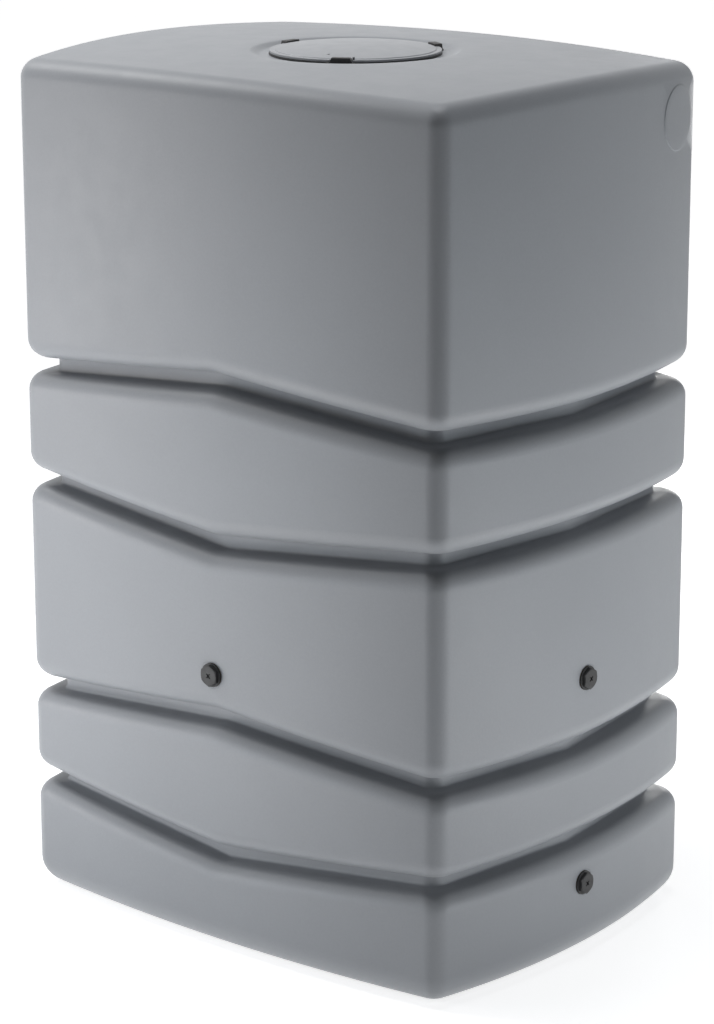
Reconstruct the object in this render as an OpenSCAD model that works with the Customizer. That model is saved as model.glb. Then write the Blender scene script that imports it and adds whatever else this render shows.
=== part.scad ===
// Free-standing wall-type rain barrel: one hollow moulded tank in five bands, a bayonet lid on
// a screwed-down neck ring, and three threaded outlets closed by hexagonal plugs.
// Millimetres, +Z up, origin at the middle of the base, front face towards -Y.

/* [Tank body] */
// Distance between the two front corners, measured to the sharp corner of the plan
corner_w = 798; // [640:1:960]
// Distance between a front corner and the back corner behind it
corner_d = 613; // [500:1:740]
// Height of the wall at the corners
wall_h = 1300; // [1060:1:1600]
// How far the front and back faces bow out at their middle
bow_front = 27.5; // [15:0.5:45]
// How far the two side faces bow out at their middle
bow_side = 41; // [20:0.5:60]
// Radius of the four upright corners
corner_r = 32; // [28:1:50]
// Radius of the edge around the top
top_r = 27; // [18:1:40]
// Radius of the edge around the base
base_r = 46; // [30:1:60]
// Thickness of the moulded wall
wall = 5; // [3:0.5:8]

/* [Crowned top] */
// Rise of the top edge from the corner to the middle of the front
crown_w = 11; // [5:0.5:20]
// Rise of the top edge from the corner to the middle of the side
crown_d = 13; // [5:0.5:20]
// How far the middle of the crown is flattened
crown_flat = 6; // [0:0.5:10]

/* [Grooves] */
// Depth of the four grooves, measured square to the wall
groove_depth = 38; // [30:1:50]
// Height of a groove at its inner wall
groove_h = 24; // [16:1:32]
// Radius of the groove wall's own upright corners
groove_corner_r = 25; // [15:1:40]
// Radius of the shoulder under a groove
shoulder_r = 27; // [18:1:30]
// Radius of the lip over a groove
lip_r = 28; // [18:1:30]
// Height of the first groove's lip: at the corner, at mid front, at mid side
lip_1 = [851, 884, 848];
// Height of the second groove's lip
lip_2 = [675, 641, 676];
// Height of the third groove's lip
lip_3 = [345, 376, 340];
// Height of the fourth groove's lip
lip_4 = [195, 161, 195];

/* [Mouth and neck ring] */
// Radius of the flat recess floor around the mouth
recess_r = 140; // [136:1:165]
// Depth of the recess under the middle of the crown
recess_drop = 7; // [4:0.5:12]
// Width of the slope that leads down into the recess
recess_slope = 18; // [8:1:30]
// Radius of the mouth cut through the top
mouth_r = 103; // [96:0.5:106]
// Radial gap between the mouth and the ring's spigot
spigot_gap = 0.3; // [0.2:0.1:1]
// Wall of the spigot
spigot_wall = 4.5; // [3:0.5:6]
// How far the spigot hangs below the recess floor
spigot_h = 22; // [12:1:40]
// Thickness of the ring's flange
flange_t = 3; // [2:0.5:5]
// Number of screws that hold the ring
screw_count = 6; // [4:1:8]
// Radius of the screw circle
screw_circle_r = 115.5; // [115:0.1:116]
// Shank radius of a ring screw
screw_r = 2; // [1.5:0.1:2]
// Head radius of a ring screw
screw_head_r = 3.6; // [3:0.1:3.8]
// Length of a ring screw
screw_len = 16; // [12:1:25]

/* [Lid] */
// Radius of the lid
lid_r = 127.5; // [125:0.5:135]
// Radius inside which the lid is domed
dome_r = 119; // [118:0.5:122]
// Step up from the flat rim to the dome
dome_step = 1.2; // [0.6:0.1:2]
// Rise of the dome
dome_h = 6; // [3:0.5:12]
// Thickness of the lid
lid_t = 3; // [2:0.5:4]
// Gap between the flange and the lid's rim
lid_gap = 0.5; // [0.4:0.1:1]
// Width of the three lugs at their foot
lug_w = 33; // [20:1:45]
// Width of a lug at its top
lug_top_w = 27; // [16:1:40]
// How far a lug's head reaches in over the rim
lug_reach = 7; // [4:0.5:8]
// Thickness of a lug's post, outside the rim
lug_post = 4.5; // [3:0.5:5]
// Height of a lug above the flange
lug_h = 7; // [6:0.5:9]
// Gap between a lug and the lid
lug_gap = 0.8; // [0.4:0.1:1.5]
// Turn that takes the rim fully under the lugs, in degrees
lock_turn = 30; // [15:1:40]

/* [Lid seal] */
// Inner radius of the seal ring
seal_in_r = 104; // [103:0.5:106]
// Outer radius of the seal ring
seal_out_r = 110.5; // [108:0.5:111]
// Gap between the seal and the faces above and below it
seal_gap = 0.3; // [0.2:0.1:0.5]

/* [Outlets] */
// Height of the front outlet
outlet_front = 433; // [428:1:520]
// Height of the upper side outlet
outlet_high = 436; // [420:1:520]
// Height of the low side outlet
outlet_low = 117; // [90:1:120]
// How far the side outlets stand in front of the middle of the side
outlet_shift = 4.5; // [0:0.5:20]
// Radius of the plug's shank, and of its thread's crests
shank_r = 13.22; // [10:0.01:15]
// Radial clearance of the shank in its insert
shank_gap = 0.05; // [0.02:0.01:0.1]
// Length of the shank behind the flange
shank_len = 15; // [10:1:16]
// Radius of the plug's flange
plug_flange_r = 18.3; // [17:0.1:20]
// Thickness of the plug's flange
plug_flange_t = 1.6; // [1.2:0.1:4]
// Width of the hexagon across its flats
hex_flats = 29.5; // [22:0.5:31]
// Height of the hexagon above the flange
hex_h = 5.8; // [4:0.1:14]
// Thickness of the washer under the flange
washer_t = 1.2; // [1:0.1:3]
// Depth of the flat seat cut for the washer
seat_cut = 0.4; // [0.3:0.1:1]
// Radius of that seat
seat_r = 21; // [20.5:0.5:22]
// Outer radius of the brass insert
insert_r = 18; // [16:0.1:19]
// Length of the insert
insert_len = 20; // [18:1:24]
// Radius of the moulded boss around an insert, inside the tank
boss_r = 27; // [24:1:32]

/* [Filler pads] */
// Radius of the raised pad on each side, where a filler pipe may be drilled in
pad_r = 48; // [35:1:60]
// How far a pad stands out
pad_rise = 1.5; // [0.5:0.1:3]
// Height of a pad's centre under the corner height
pad_below_top = 72; // [72:1:110]
// Distance of a pad's centre behind the middle of the side
pad_back = 232; // [180:1:235]

/* [Hidden] */
$fn = 96;

moulded = [0.60, 0.61, 0.63];
black = [0.13, 0.13, 0.14];
rubber = [0.08, 0.08, 0.09];
brass = [0.78, 0.63, 0.34];
steel = [0.72, 0.73, 0.75];

lips = [lip_4, lip_3, lip_2, lip_1];
round_steps = 3;
corner_steps = 3;
small = 0.01;

// ---- plan of the tank -------------------------------------------------------------------

function arc_radius(chord, bow) = (chord * chord / 4 + bow * bow) / (2 * bow);

half_w = corner_w / 2;
half_d = corner_d / 2;
front_arc_r = arc_radius(corner_w, bow_front);
side_arc_r = arc_radius(corner_d, bow_side);
front_arc_y = half_d + bow_front - front_arc_r;
side_arc_x = half_w + bow_side - side_arc_r;
front_y = -(half_d + bow_front);
side_x = half_w + bow_side;

// Shares of a half face at which its columns stand: a flat strip for the outlet's seat,
// then even steps out to the corner.
seat_strip = seat_r + 3;
seat_strip_side = seat_strip + outlet_shift;
front_steps = concat([0], [for (i = [0:2]) let (s = seat_strip / half_w) s + (1 - s) * i / 3]);
side_steps = concat([for (i = [0:3]) let (s = seat_strip_side / half_d) 1 - (1 - s) * i / 3], [0]);

// Corner point of the plan when both faces move in by t
function corner_at(t) =
    let (span = norm([side_arc_x, front_arc_y]),
         e = [side_arc_x, -front_arc_y] / span,
         a = front_arc_r - t,
         b = side_arc_r - t,
         s = (span * span + a * a - b * b) / (2 * span),
         h = sqrt(a * a - s * s))
    [0, front_arc_y] + e * s + [e[1], -e[0]] * h;

// Quarter of the plan, from mid back to mid side: bowed faces moved in by t, corner radius r
function quarter_bowed(t, r) =
    let (c = corner_at(t + r),
         front_a = atan2(c[0], c[1] - front_arc_y),
         side_a = atan2(c[1], c[0] - side_arc_x))
    concat(
        [for (u = front_steps) let (a = front_a * u)
            [(front_arc_r - t) * sin(a), front_arc_y + (front_arc_r - t) * cos(a)]],
        [for (i = [0:corner_steps - 1]) let (a = front_a + (90 - side_a - front_a) * i / corner_steps)
            c + r * [sin(a), cos(a)]],
        [for (u = side_steps) let (a = side_a * u)
            [side_arc_x + (side_arc_r - t) * cos(a), (side_arc_r - t) * sin(a)]]);

// The same quarter for a groove's inner wall: two straight runs that meet at mid face
function quarter_folded(t, r) =
    let (mid_back = [0, half_d + bow_front - t],
         mid_side = [half_w + bow_side - t, 0],
         v = corner_at(t),
         u = (v - mid_back) / norm(v - mid_back),
         w = (mid_side - v) / norm(mid_side - v),
         turn = acos(u * w),
         cut = r * tan(turn / 2),
         start = v - u * cut,
         end = v + w * cut,
         out = [-u[1], u[0]],
         c = start - out * r,
         first = atan2(out[0], out[1]))
    concat(
        [for (s = front_steps) mid_back + (start - mid_back) * s],
        [for (i = [0:corner_steps - 1]) let (a = first + turn * i / corner_steps)
            c + r * [sin(a), cos(a)]],
        [for (s = side_steps) mid_side + (end - mid_side) * s]);

// Distance along a half face for each column: 0 mid front, 1 corner, 2 mid side
run_quarter = concat(front_steps, [for (i = [1:corner_steps]) 1], [for (s = side_steps) 2 - s]);

function mirror_round(q) =
    let (n = len(q))
    concat(q,
        [for (i = [n - 2:-1:0]) [q[i][0], -q[i][1]]],
        [for (i = [1:n - 1]) [-q[i][0], -q[i][1]]],
        [for (i = [n - 2:-1:1]) [-q[i][0], q[i][1]]]);
function repeat_round(q) =
    let (n = len(q))
    concat(q, [for (i = [n - 2:-1:0]) q[i]], [for (i = [1:n - 1]) q[i]], [for (i = [n - 2:-1:1]) q[i]]);

run = repeat_round(run_quarter);

function lip_height(lip, r) =
    r <= 1 ? lip[1] + (lip[0] - lip[1]) * r : lip[0] + (lip[2] - lip[0]) * (r - 1);

// Height of the crowned top over a point of the plan
function crown_z(p) =
    let (a = 1 - pow(p[0] / half_w, 2), b = 1 - pow(p[1] / half_d, 2))
    wall_h + crown_w * a + crown_d * b - crown_flat * a * b;

recess_z = crown_z([0, 0]) - recess_drop;

// ---- skins of the tank: rings of points, from the base up and in to the recess -------------

function at_height(line, z) = [for (p = line) [p[0], p[1], z]];
function at_heights(line, z) = [for (i = [0:len(line) - 1]) [line[i][0], line[i][1], z[i]]];
function on_crown(line, drop) = [for (p = line) [p[0], p[1], crown_z(p) - drop]];
function towards(a, b, d) = [for (i = [0:len(a) - 1]) a[i] + (b[i] - a[i]) * d / norm(b[i] - a[i])];
function between(a, b, s) = [for (i = [0:len(a) - 1]) a[i] + (b[i] - a[i]) * s];
function around(line, r) = [for (p = line) r * p / norm(p)];

// One groove: shoulder of the band below, inner wall, lip of the band above
function groove_rings(face, inner, lip, t) =
    let (sr = shoulder_r - t,
         lr = lip_r - t,
         top = [for (r = run) lip_height(lip, r) + t],
         floor = [for (r = run) lip_height(lip, r) - groove_h - t])
    concat(
        [for (i = [0:round_steps]) let (a = 90 * i / round_steps)
            at_heights(towards(face, inner, sr * (1 - cos(a))), [for (z = floor) z - sr * (1 - sin(a))])],
        [at_heights(inner, floor), at_heights(inner, top)],
        [for (i = [round_steps:-1:0]) let (a = 90 * i / round_steps)
            at_heights(towards(face, inner, lr * (1 - cos(a))), [for (z = top) z + lr * (1 - sin(a))])]);

function skin_rings(t) =
    let (face = mirror_round(quarter_bowed(t, corner_r - t)),
         inner = mirror_round(quarter_folded(groove_depth + t, groove_corner_r - t)),
         foot = mirror_round(quarter_bowed(base_r, corner_r / 3)),
         rim = mirror_round(quarter_bowed(top_r, corner_r / 2.5)))
    concat(
        [for (i = [0:round_steps]) let (a = 90 * i / round_steps)
            at_height(between(foot, face, sin(a)), t + (base_r - t) * (1 - cos(a)))],
        [for (lip = lips) each groove_rings(face, inner, lip, t)],
        [for (i = [0:round_steps]) let (a = 90 * i / round_steps)
            on_crown(between(face, rim, 1 - cos(a)), t + (top_r - t) * (1 - sin(a)))],
        [for (s = [0.5, 1]) on_crown(between(rim, around(rim, recess_r + recess_slope), s), t)],
        [at_height(around(rim, recess_r), recess_z - t)]);

// Closed solid through a list of rings, each with the same number of points
module ring_solid(rings) {
    n = len(rings[0]);
    m = len(rings);
    polyhedron(
        points = [for (ring = rings) each ring],
        faces = concat(
            [[for (i = [n - 1:-1:0]) i]],
            [[for (i = [0:n - 1]) (m - 1) * n + i]],
            [for (j = [0:m - 2]) for (i = [0:n - 1]) let (k = (i + 1) % n)
                each [[j * n + i, (j + 1) * n + k, (j + 1) * n + i],
                      [j * n + i, j * n + k, (j + 1) * n + k]]]));
}

// ---- outlets --------------------------------------------------------------------------------

// Puts +Z along the outward normal at an outlet, with z = 0 on its flat seat
module at_front() translate([0, front_y + seat_cut, outlet_front]) rotate([90, 0, 0]) children();
module at_side(z) translate([side_x - seat_cut, -outlet_shift, z]) rotate([90, 0, 90]) children();
module at_each_outlet() {
    at_front() children();
    at_side(outlet_high) children();
    at_side(outlet_low) children();
}

insert_gap = 0.05;
boss_depth = insert_len - 3;
insert_collar_r = insert_r + 4;
hex_r = hex_flats / 2 / cos(30);

module insert_body() color(brass)
    difference() {
        union() {
            translate([0, 0, -insert_len]) cylinder(r = insert_r, h = insert_len);
            translate([0, 0, -insert_len]) cylinder(r = insert_collar_r, h = insert_len - boss_depth);
        }
        translate([0, 0, -insert_len - 1]) cylinder(r = shank_r + shank_gap, h = insert_len + 2);
        translate([0, 0, -1]) cylinder(r1 = shank_r + shank_gap, r2 = shank_r + shank_gap + 1 + small, h = 1 + small);
    }

module washer_body() color(rubber)
    rotate_extrude() translate([shank_r + 0.4, 0]) square([plug_flange_r - shank_r - 0.9, washer_t]);

module plug_body() color(black)
    translate([0, 0, washer_t]) difference() {
        union() {
            translate([0, 0, -shank_len]) cylinder(r = shank_r, h = shank_len + small);
            rotate_extrude() polygon([[0, 0], [plug_flange_r - 0.5, 0], [plug_flange_r, 0.5],
                [plug_flange_r, plug_flange_t - 0.5], [plug_flange_r - 0.5, plug_flange_t], [0, plug_flange_t]]);
            intersection() {
                rotate([0, 0, 90]) cylinder(r = hex_r, h = plug_flange_t + hex_h, $fn = 6);
                rotate_extrude() polygon([[0, 0], [hex_r + 1, 0], [hex_r + 1, plug_flange_t + hex_h - 1.8],
                    [hex_flats / 2 - 0.3, plug_flange_t + hex_h], [0, plug_flange_t + hex_h]]);
            }
        }
        // cross recess in the head, and the hollow behind it
        for (a = [45, 135]) rotate([0, 0, a])
            translate([-cross_l / 2, -cross_w / 2, plug_flange_t + hex_h - cross_depth])
                cube([cross_l, cross_w, cross_depth + 1]);
        translate([0, 0, -shank_len - 1]) cylinder(r = shank_r - plug_shell, h = shank_len + 1);
    }
cross_l = 9;
cross_w = 2;
cross_depth = 3;
plug_shell = 3.5;

// ---- tank -------------------------------------------------------------------------------------

module side_pad(side) {
    pad_turn = asin(pad_back / side_arc_r);
    scale_x = side_arc_r + pad_rise;
    mirror([side < 0 ? 1 : 0, 0, 0]) intersection() {
        translate([side_arc_x, 0, wall_h - pad_below_top]) rotate([0, 0, pad_turn])
            translate([side_arc_r - wall / 2, 0, 0]) rotate([0, 90, 0]) cylinder(r = pad_r, h = wall);
        translate([side_arc_x, 0, wall_h - pad_below_top - pad_r - 1]) cylinder(r = scale_x, h = 2 * pad_r + 2);
    }
}

module screw_places() for (i = [0:screw_count - 1]) rotate([0, 0, 360 * (i + 0.5) / screw_count])
    translate([screw_circle_r, 0, 0]) children();

module tank_shell() color(moulded) difference() {
    union() {
        difference() {
            ring_solid(skin_rings(0));
            ring_solid(skin_rings(wall));
        }
        at_each_outlet() translate([0, 0, -boss_depth]) cylinder(r = boss_r, h = boss_depth - wall / 2);
        side_pad(1);
        side_pad(-1);
    }
    translate([0, 0, recess_z - 2 * wall]) cylinder(r = mouth_r, h = 4 * wall);
    screw_places() translate([0, 0, recess_z - 2 * wall]) cylinder(r = screw_r + insert_gap, h = 4 * wall);
    at_each_outlet() {
        cylinder(r = seat_r, h = 5);
        translate([0, 0, -boss_depth - 1]) cylinder(r = insert_r + insert_gap, h = boss_depth + 2);
    }
}

// ---- neck ring ------------------------------------------------------------------------------

spigot_r = mouth_r - spigot_gap;
neck_r = spigot_r - spigot_wall;
flange_r = lid_r + lug_gap + lug_post + 1;
flange_z = recess_z + flange_t;
rim_z = flange_z + lid_gap;
lug_in_r = lid_r - lug_reach;
lug_out_r = lid_r + lug_gap + lug_post;

// Trapezoid, wide at the outside of the ring, used for a lug and for the notch that clears it
module lug_plan(in_r, out_r, w_in, w_out)
    polygon([[in_r, -w_in / 2], [out_r, -w_out / 2], [out_r, w_out / 2], [in_r, w_in / 2]]);

module lug() {
    head_z = rim_z + lid_t + lug_gap / 2;
    top_z = flange_z + lug_h;
    intersection() {
        union() {
            translate([0, 0, flange_z - small]) linear_extrude(top_z - flange_z + small)
                lug_plan(lid_r + lug_gap, lug_out_r + 2, lug_w, lug_w);
            translate([0, 0, head_z]) linear_extrude(top_z - head_z)
                lug_plan(lug_in_r, lug_out_r + 2, lug_w - 4, lug_w);
        }
        // rounded outside and splayed ends
        translate([0, 0, flange_z - 1]) cylinder(r = lug_out_r, h = lug_h + 2);
        rotate([90, 0, 90]) linear_extrude(2 * lid_r)
            polygon([[-lug_w / 2, flange_z - 1], [lug_w / 2, flange_z - 1],
                     [lug_top_w / 2, top_z], [-lug_top_w / 2, top_z]]);
    }
}

module neck_ring() color(black) difference() {
    union() {
        translate([0, 0, recess_z]) difference() {
            cylinder(r = flange_r, h = flange_t);
            translate([0, 0, -1]) cylinder(r = neck_r, h = flange_t + 2);
        }
        translate([0, 0, recess_z - spigot_h]) difference() {
            cylinder(r = spigot_r, h = spigot_h + small);
            translate([0, 0, -1]) cylinder(r = neck_r, h = spigot_h + 2);
        }
        for (a = [60, 180, 300]) rotate([0, 0, a]) lug();
    }
    screw_places() {
        translate([0, 0, recess_z - 1]) cylinder(r = screw_r + insert_gap, h = flange_t + 2);
        translate([0, 0, flange_z - screw_head_r + screw_r])
            cylinder(r1 = screw_r + insert_gap, r2 = screw_head_r + insert_gap + small, h = screw_head_r - screw_r + small);
    }
}

module neck_screws() color(steel) screw_places() difference() {
    union() {
        translate([0, 0, flange_z - screw_len]) cylinder(r = screw_r, h = screw_len - 1);
        translate([0, 0, flange_z - screw_head_r + screw_r])
            cylinder(r1 = screw_r, r2 = screw_head_r, h = screw_head_r - screw_r);
    }
    for (a = [0, 90]) rotate([0, 0, a]) translate([-2, -0.5, flange_z - 1]) cube([4, 1, 2]);
}

// ---- lid and seal -------------------------------------------------------------------------------

skirt_gap = 1;
skirt_t = 2.5;
skirt_h = 12;
skirt_r = neck_r - skirt_gap;
rib_t = 1.7;
dome_top = rim_z + lid_t + dome_step + dome_h;
dome_ball_r = (dome_r * dome_r + dome_h * dome_h) / (2 * dome_h);
lock_slot = [3.5, 15];
vent_r = 2.2;

// Height of the dome's outer surface at radius r
function dome_z(r) = dome_top - dome_ball_r + sqrt(dome_ball_r * dome_ball_r - r * r);

module lid() color(moulded) difference() {
    union() {
        // domed plate: outer surface, then back under it
        rotate_extrude() polygon(concat(
            [[0, dome_z(0) - lid_t], [0, dome_z(0)]],
            [for (i = [1:20]) let (r = dome_r * i / 20) [r, dome_z(r)]],
            [[dome_r + dome_step, rim_z + lid_t], [lid_r - 0.6, rim_z + lid_t], [lid_r, rim_z + lid_t - 0.6],
             [lid_r, rim_z], [dome_r - 3, rim_z]],
            [for (i = [19:-1:1]) let (r = (dome_r - 4) * i / 19) [r, dome_z(r) - lid_t]]));
        // skirt that centres the lid in the neck
        translate([0, 0, flange_z - skirt_h]) difference() {
            cylinder(r = skirt_r, h = dome_z(skirt_r) - lid_t - flange_z + skirt_h + 1);
            translate([0, 0, -1]) cylinder(r = skirt_r - skirt_t, h = 3 * skirt_h);
        }
        // rib that keeps the seal in place
        translate([0, 0, flange_z + lid_gap]) difference() {
            cylinder(r = seal_in_r - lid_gap, h = dome_z(seal_in_r) - lid_t - flange_z - lid_gap + 1);
            translate([0, 0, -1]) cylinder(r = seal_in_r - lid_gap - rib_t, h = skirt_h);
        }
    }
    // notches that let the lid drop past the lugs
    for (a = [60, 180, 300]) rotate([0, 0, a]) translate([0, 0, rim_z - 1]) linear_extrude(dome_h + 10)
        lug_plan(lug_in_r - lug_gap, lid_r + 2, lug_w + 2 * lug_gap - 4, lug_w + 2 * lug_gap);
    // slot that frees the edge of the front notch as a catch, and the hole for a securing pin
    rotate([0, 0, -52]) translate([lid_r - lock_slot[1] - 3, -lock_slot[0] / 2, rim_z - 1])
        cube([lock_slot[1], lock_slot[0], dome_h + 10]);
    rotate([0, 0, -75]) translate([dome_r - 24, 0, rim_z - 1]) cylinder(r = vent_r, h = dome_h + 10);
}

module lid_seal() color(rubber)
    translate([0, 0, flange_z + seal_gap]) difference() {
        cylinder(r = seal_out_r, h = dome_z(seal_out_r) - lid_t - flange_z - 2 * seal_gap);
        translate([0, 0, -1]) cylinder(r = seal_in_r, h = 10);
    }

// ---- nodes ----------------------------------------------------------------------------------------

module insert_front() at_front() insert_body();
module washer_front() at_front() washer_body();
module plug_front() at_front() plug_body();
module insert_side_high() at_side(outlet_high) insert_body();
module washer_side_high() at_side(outlet_high) washer_body();
module plug_side_high() at_side(outlet_high) plug_body();
module insert_side_low() at_side(outlet_low) insert_body();
module washer_side_low() at_side(outlet_low) washer_body();
module plug_side_low() at_side(outlet_low) plug_body();

tank_shell();
neck_ring();
neck_screws();
lid();
lid_seal();
insert_front();
washer_front();
plug_front();
insert_side_high();
washer_side_high();
plug_side_high();
insert_side_low();
washer_side_low();
plug_side_low();
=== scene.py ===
"""Looks of the rain barrel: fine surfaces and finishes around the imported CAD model.

Every shape is worked out in millimetres as numpy grids and put in the mesh in metres, in the
CAD model's frame: +Z up, the front face towards -Y, the two side outlets on +X.
"""
import math

import bmesh
import bpy
import numpy as np
from mathutils import Matrix, Vector


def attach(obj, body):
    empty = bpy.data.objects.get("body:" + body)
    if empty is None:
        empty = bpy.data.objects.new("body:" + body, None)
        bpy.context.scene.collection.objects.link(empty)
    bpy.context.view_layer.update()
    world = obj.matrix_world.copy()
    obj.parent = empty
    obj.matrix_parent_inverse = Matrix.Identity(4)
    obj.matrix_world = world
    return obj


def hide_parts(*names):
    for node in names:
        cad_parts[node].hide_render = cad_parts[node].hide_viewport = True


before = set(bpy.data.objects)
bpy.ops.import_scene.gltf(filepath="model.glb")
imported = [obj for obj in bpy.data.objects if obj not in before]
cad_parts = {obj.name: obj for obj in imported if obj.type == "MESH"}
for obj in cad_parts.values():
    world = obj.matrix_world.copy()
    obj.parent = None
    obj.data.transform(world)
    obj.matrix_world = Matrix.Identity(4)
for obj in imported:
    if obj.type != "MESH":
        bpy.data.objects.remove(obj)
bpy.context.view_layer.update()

MM = 0.001
TAU = 2 * math.pi

# ---- sizes of the tank, as the CAD has them ---------------------------
CORNER_W, CORNER_D, WALL_H = 798.0, 613.0, 1300.0
BOW_FRONT, BOW_SIDE = 27.5, 41.0
CORNER_R, TOP_R, BASE_R, WALL = 32.0, 27.0, 46.0, 5.0
FOOT_CORNER_R, RIM_CORNER_R = CORNER_R / 3, CORNER_R / 2.5
CROWN_W, CROWN_D, CROWN_FLAT = 11.0, 13.0, 6.0
GROOVE_DEPTH, GROOVE_H, GROOVE_CORNER_R = 38.0, 24.0, 25.0
SHOULDER_R, LIP_R, GROOVE_FILLET = 27.0, 28.0, 4.0
# height of each groove's lip at the corner, mid front and mid side, from the lowest groove up
LIPS = [(195, 161, 195), (345, 376, 340), (675, 641, 676), (851, 884, 848)]
RECESS_R, RECESS_DROP, RECESS_SLOPE, MOUTH_R = 140.0, 7.0, 18.0, 103.0
RECESS_Z = WALL_H + CROWN_W + CROWN_D - CROWN_FLAT - RECESS_DROP

# ---- sizes of the fittings --------------------------------------------
FLANGE_T, SPIGOT_H, NECK_R, SPIGOT_R = 3.0, 22.0, 98.2, 102.7
LID_R, DOME_R, DOME_STEP, DOME_H, LID_T, LID_GAP = 127.5, 119.0, 1.2, 6.0, 3.0, 0.5
FLANGE_Z = RECESS_Z + FLANGE_T
RIM_Z = FLANGE_Z + LID_GAP
LUG_W, LUG_TOP_W, LUG_H, LUG_GAP = 33.0, 27.0, 7.0, 0.8
LUG_IN_R, LUG_POST_R, LUG_OUT_R = LID_R - 7.0, LID_R + LUG_GAP, LID_R + LUG_GAP + 4.5
FLANGE_R = LUG_OUT_R + 1.0
LUG_ANGLES = (60, 180, 300)
SCREW_CIRCLE_R, SCREW_R, SCREW_HEAD_R, SCREW_LEN = 115.5, 2.0, 3.6, 16.0
SCREW_ANGLES = np.radians(np.arange(6) * 60 + 30)
SEAL_IN_R, SEAL_OUT_R, SEAL_GAP = 104.0, 110.5, 0.3
SKIRT_R, SKIRT_T, SKIRT_H, RIB_T = NECK_R - 1.0, 2.5, 12.0, 1.7
PITCH, THREAD_DEPTH, SHANK_R, BORE_R = 1.814, 1.1, 13.22, 13.27
SHANK_LEN, WASHER_T, PLUG_FLANGE_R, PLUG_FLANGE_T = 15.0, 1.2, 18.3, 1.6
HEX_FLATS, HEX_H = 29.5, 5.8
INSERT_R, INSERT_LEN, INSERT_COLLAR_R, BOSS_R, BOSS_DEPTH = 18.0, 20.0, 22.0, 27.0, 17.0
SEAT_CUT, SEAT_R = 0.4, 21.0
PAD_R, PAD_RISE, PAD_Z, PAD_BACK = 48.0, 1.5, WALL_H - 72.0, 232.0
OUTLET_FRONT, OUTLET_HIGH, OUTLET_LOW, OUTLET_SHIFT = 433.0, 436.0, 117.0, 4.5
FRONT_SEAT, SIDE_SEAT = CORNER_D / 2 + BOW_FRONT - SEAT_CUT, CORNER_W / 2 + BOW_SIDE - SEAT_CUT
ON_FRONT, ON_SIDE = dict(right=(1, 0, 0), out=(0, -1, 0)), dict(right=(0, 1, 0), out=(1, 0, 0))
OUTLETS = {
    "front": dict(centre=(0.0, -FRONT_SEAT, OUTLET_FRONT), **ON_FRONT),
    "side_high": dict(centre=(SIDE_SEAT, -OUTLET_SHIFT, OUTLET_HIGH), **ON_SIDE),
    "side_low": dict(centre=(SIDE_SEAT, -OUTLET_SHIFT, OUTLET_LOW), **ON_SIDE),
}



# ---- shader maths -----------------------------------------------------

class Wire:
    """A number on its way through a node tree. Arithmetic on it adds Math nodes."""

    def __init__(self, graph, socket):
        self.graph, self.socket = graph, socket

    def _math(self, operation, *values):
        return self.graph.node("ShaderNodeMath", {"operation": operation}, dict(enumerate(values)))

    def __add__(self, other):
        return self._math("ADD", self, other)

    def __sub__(self, other):
        return self._math("SUBTRACT", self, other)

    def __rsub__(self, other):
        return self._math("SUBTRACT", other, self)

    def __mul__(self, other):
        return self._math("MULTIPLY", self, other)

    __radd__ = __add__
    __rmul__ = __mul__

    def clamped(self):
        """The number held between 0 and 1."""
        return self.graph.node("ShaderNodeClamp", inputs={"Value": self})


class Graph:
    """A node tree, emptied, and the one method that adds a node to it."""

    def __init__(self, tree):
        self.tree = tree
        tree.nodes.clear()

    def add(self, kind, settings=None, inputs=None):
        """Adds a node: its settings first, a ramp's stops among them, then its sockets by name or number."""
        node = self.tree.nodes.new(kind)
        for key, value in (settings or {}).items():
            if key == "stops":
                ramp = node.color_ramp.elements
                while len(ramp) < len(value):
                    ramp.new(0.5)
                for stop, (place, colour) in zip(ramp, value):
                    stop.position, stop.color = place, colour
            else:
                setattr(node, key, value)
        for key, value in (inputs or {}).items():
            if isinstance(value, Wire):
                self.tree.links.new(value.socket, node.inputs[key])
            else:
                node.inputs[key].default_value = value
        return node

    def node(self, kind, settings=None, inputs=None, out=0):
        """Adds a node and returns one of its outputs as a number on its way."""
        return Wire(self, self.add(kind, settings, inputs).outputs[out])

    def noise(self, scale, detail=2.0, roughness=0.5):
        """Cloudy noise in 0..1 over the object's own coordinates; scale is in cells to the metre."""
        at = self.node("ShaderNodeTexCoord", out="Object")
        return self.node("ShaderNodeTexNoise", {"noise_dimensions": "3D"},
                         {"Vector": at, "Scale": scale, "Detail": detail, "Roughness": roughness})

    def smooth(self, value, low, high, to_low=0.0, to_high=1.0):
        """Carries value from low..high to to_low..to_high, eased at both ends."""
        return self.node("ShaderNodeMapRange", {"interpolation_type": "SMOOTHSTEP"},
                         {"Value": value, "From Min": low, "From Max": high, "To Min": to_low, "To Max": to_high})

    def blend(self, share, first, second):
        """Mixes two colours."""
        return self.node("ShaderNodeMix", {"data_type": "RGBA"}, {0: share, 6: first, 7: second}, out=2)

    def bump(self, height, strength, distance, under=None):
        """A normal tilted by a height; under is the coarser bump below it."""
        inputs = {"Height": height, "Strength": strength, "Distance": distance}
        if under:
            inputs["Normal"] = under
        return self.node("ShaderNodeBump", inputs=inputs)

    def seen(self):
        """1 for rays from the camera, reflections and glass, 0 for the light that falls on the object."""
        path = self.add("ShaderNodeLightPath")
        rays = [Wire(self, path.outputs[name]) for name in ("Is Camera Ray", "Is Glossy Ray", "Is Transmission Ray")]
        return (rays[0] + rays[1] + rays[2]).clamped()


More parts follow.
